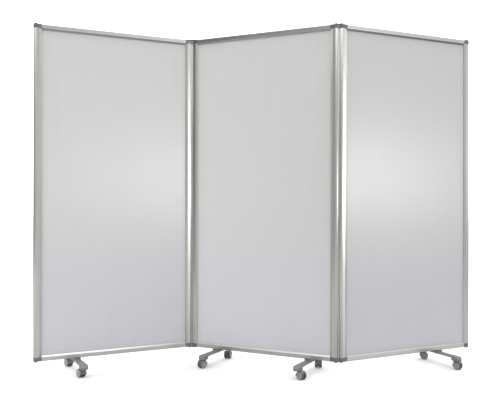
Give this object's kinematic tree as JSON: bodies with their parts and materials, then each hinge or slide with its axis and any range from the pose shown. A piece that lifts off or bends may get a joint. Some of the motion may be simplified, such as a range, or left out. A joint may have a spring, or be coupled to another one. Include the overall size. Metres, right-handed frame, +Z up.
{
  "type": "folding room divider",
  "caption": "Folding mobile room divider: framed translucent fluted panels joined by double-pin hinges, standing in a zig-zag on feet with twin-wheel castors.",
  "frame": {"origin": "on the floor, under the middle of the middle panel", "axes": "+X along the screen from the left panel to the right panel, -Y towards the front, +Z up"},
  "size_m": [2.3066, 0.5609, 1.778],
  "materials": {
    "frame_aluminium": "satin anodised extrusion with fine lengthwise grain",
    "fluted_sheet": "translucent white twin-wall sheet with upright flutes",
    "corner_plastic": "moulded dark grey plastic, fine texture",
    "foot_aluminium": "cast, satin silver coating",
    "fastener_steel": "zinc plated",
    "castor_plastic": "moulded grey plastic hood, slight gloss",
    "wheel_plastic": "moulded grey plastic wheel, dull tread"
  },
  "bodies": {
    "middle": {"middle_left_stile": "frame_aluminium", "middle_right_stile": "frame_aluminium", "middle_top_rail": "frame_aluminium", "middle_bottom_rail": "frame_aluminium", "middle_sheet": "fluted_sheet", "middle_corner_connectors": "corner_plastic", "middle_foot_bolts": "fastener_steel", "middle_castor_stems": "fastener_steel", "middle_left_foot_arm": "foot_aluminium", "middle_left_foot_block": "foot_aluminium", "middle_right_foot_arm": "foot_aluminium", "middle_right_foot_block": "foot_aluminium"},
    "left": {"left_outer_stile": "frame_aluminium", "left_hinge_stile": "frame_aluminium", "left_top_rail": "frame_aluminium", "left_bottom_rail": "frame_aluminium", "left_sheet": "fluted_sheet", "left_corner_connectors": "corner_plastic", "left_foot_bolts": "fastener_steel", "left_castor_stems": "fastener_steel", "left_foot_arm": "foot_aluminium", "left_foot_block": "foot_aluminium"},
    "left_link": {"left_hinge_links": "corner_plastic", "left_hinge_pins": "corner_plastic"},
    "right": {"right_hinge_stile": "frame_aluminium", "right_outer_stile": "frame_aluminium", "right_top_rail": "frame_aluminium", "right_bottom_rail": "frame_aluminium", "right_sheet": "fluted_sheet", "right_corner_connectors": "corner_plastic", "right_foot_bolts": "fastener_steel", "right_castor_stems": "fastener_steel", "right_foot_arm": "foot_aluminium", "right_foot_block": "foot_aluminium"},
    "right_link": {"right_hinge_links": "corner_plastic", "right_hinge_pins": "corner_plastic"},
    "left_front_castor_fork": {"left_front_castor_fork": "castor_plastic", "left_front_castor_axle": "fastener_steel"},
    "left_front_castor_wheels": {"left_front_castor_wheels": "wheel_plastic"},
    "left_rear_castor_fork": {"left_rear_castor_fork": "castor_plastic", "left_rear_castor_axle": "fastener_steel"},
    "left_rear_castor_wheels": {"left_rear_castor_wheels": "wheel_plastic"},
    "middle_left_front_castor_fork": {"middle_left_front_castor_fork": "castor_plastic", "middle_left_front_castor_axle": "fastener_steel"},
    "middle_left_front_castor_wheels": {"middle_left_front_castor_wheels": "wheel_plastic"},
    "middle_left_rear_castor_fork": {"middle_left_rear_castor_fork": "castor_plastic", "middle_left_rear_castor_axle": "fastener_steel"},
    "middle_left_rear_castor_wheels": {"middle_left_rear_castor_wheels": "wheel_plastic"},
    "middle_right_front_castor_fork": {"middle_right_front_castor_fork": "castor_plastic", "middle_right_front_castor_axle": "fastener_steel"},
    "middle_right_front_castor_wheels": {"middle_right_front_castor_wheels": "wheel_plastic"},
    "middle_right_rear_castor_fork": {"middle_right_rear_castor_fork": "castor_plastic", "middle_right_rear_castor_axle": "fastener_steel"},
    "middle_right_rear_castor_wheels": {"middle_right_rear_castor_wheels": "wheel_plastic"},
    "right_front_castor_fork": {"right_front_castor_fork": "castor_plastic", "right_front_castor_axle": "fastener_steel"},
    "right_front_castor_wheels": {"right_front_castor_wheels": "wheel_plastic"},
    "right_rear_castor_fork": {"right_rear_castor_fork": "castor_plastic", "right_rear_castor_axle": "fastener_steel"},
    "right_rear_castor_wheels": {"right_rear_castor_wheels": "wheel_plastic"}
  },
  "joints": [
    {"name": "left_link_turn", "type": "hinge", "parent": "middle", "child": "left_link", "pos_m": [-0.3711, 0.18909, 0.9], "axis": [0, 0, 1], "range_deg": [-117, 63]},
    {"name": "left_panel_fold", "type": "hinge", "parent": "left_link", "child": "left", "pos_m": [-0.3981, 0.18909, 0.9], "axis": [0, 0, 1], "range_deg": [-117, 63]},
    {"name": "right_link_turn", "type": "hinge", "parent": "middle", "child": "right_link", "pos_m": [0.3711, -0.18909, 0.9], "axis": [0, 0, 1], "range_deg": [-117, 63]},
    {"name": "right_panel_fold", "type": "hinge", "parent": "right_link", "child": "right", "pos_m": [0.3981, -0.18909, 0.9], "axis": [0, 0, 1], "range_deg": [-117, 63]},
    {"name": "left_front_swivel", "type": "hinge", "parent": "left", "child": "left_front_castor_fork", "pos_m": [-0.89666, -0.21533, 0.034], "axis": [0, 0, 1], "continuous": true},
    {"name": "left_front_roll", "type": "hinge", "parent": "left_front_castor_fork", "child": "left_front_castor_wheels", "pos_m": [-0.90868, -0.20331, 0.02], "axis": [-0.7071, -0.7071, 0], "continuous": true},
    {"name": "left_rear_swivel", "type": "hinge", "parent": "left", "child": "left_rear_castor_fork", "pos_m": [-1.01832, 0.02346, 0.034], "axis": [0, 0, 1], "continuous": true},
    {"name": "left_rear_roll", "type": "hinge", "parent": "left_rear_castor_fork", "child": "left_rear_castor_wheels", "pos_m": [-1.03035, 0.03548, 0.02], "axis": [-0.7071, -0.7071, 0], "continuous": true},
    {"name": "middle_left_front_swivel", "type": "hinge", "parent": "middle", "child": "middle_left_front_castor_fork", "pos_m": [-0.30193, 0.00345, 0.034], "axis": [0, 0, 1], "continuous": true},
    {"name": "middle_left_front_roll", "type": "hinge", "parent": "middle_left_front_castor_fork", "child": "middle_left_front_castor_wheels", "pos_m": [-0.31395, -0.00857, 0.02], "axis": [0.7071, -0.7071, 0], "continuous": true},
    {"name": "middle_left_rear_swivel", "type": "hinge", "parent": "middle", "child": "middle_left_rear_castor_fork", "pos_m": [-0.18026, 0.24224, 0.034], "axis": [0, 0, 1], "continuous": true},
    {"name": "middle_left_rear_roll", "type": "hinge", "parent": "middle_left_rear_castor_fork", "child": "middle_left_rear_castor_wheels", "pos_m": [-0.18466, 0.22582, 0.02], "axis": [0.9659, -0.2588, 0], "continuous": true},
    {"name": "middle_right_front_swivel", "type": "hinge", "parent": "middle", "child": "middle_right_front_castor_fork", "pos_m": [0.18026, -0.24224, 0.034], "axis": [0, 0, 1], "continuous": true},
    {"name": "middle_right_front_roll", "type": "hinge", "parent": "middle_right_front_castor_fork", "child": "middle_right_front_castor_wheels", "pos_m": [0.19228, -0.25426, 0.02], "axis": [0.7071, 0.7071, 0], "continuous": true},
    {"name": "middle_right_rear_swivel", "type": "hinge", "parent": "middle", "child": "middle_right_rear_castor_fork", "pos_m": [0.30193, -0.00345, 0.034], "axis": [0, 0, 1], "continuous": true},
    {"name": "middle_right_rear_roll", "type": "hinge", "parent": "middle_right_rear_castor_fork", "child": "middle_right_rear_castor_wheels", "pos_m": [0.30193, 0.01355, 0.02], "axis": [-1, 0, 0], "continuous": true},
    {"name": "right_front_swivel", "type": "hinge", "parent": "right", "child": "right_front_castor_fork", "pos_m": [1.01832, -0.02346, 0.034], "axis": [0, 0, 1], "continuous": true},
    {"name": "right_front_roll", "type": "hinge", "parent": "right_front_castor_fork", "child": "right_front_castor_wheels", "pos_m": [1.03035, -0.03548, 0.02], "axis": [0.7071, 0.7071, 0], "continuous": true},
    {"name": "right_rear_swivel", "type": "hinge", "parent": "right", "child": "right_rear_castor_fork", "pos_m": [0.89666, 0.21533, 0.034], "axis": [0, 0, 1], "continuous": true},
    {"name": "right_rear_roll", "type": "hinge", "parent": "right_rear_castor_fork", "child": "right_rear_castor_wheels", "pos_m": [0.91366, 0.21533, 0.02], "axis": [0, 1, 0], "continuous": true}
  ]
}
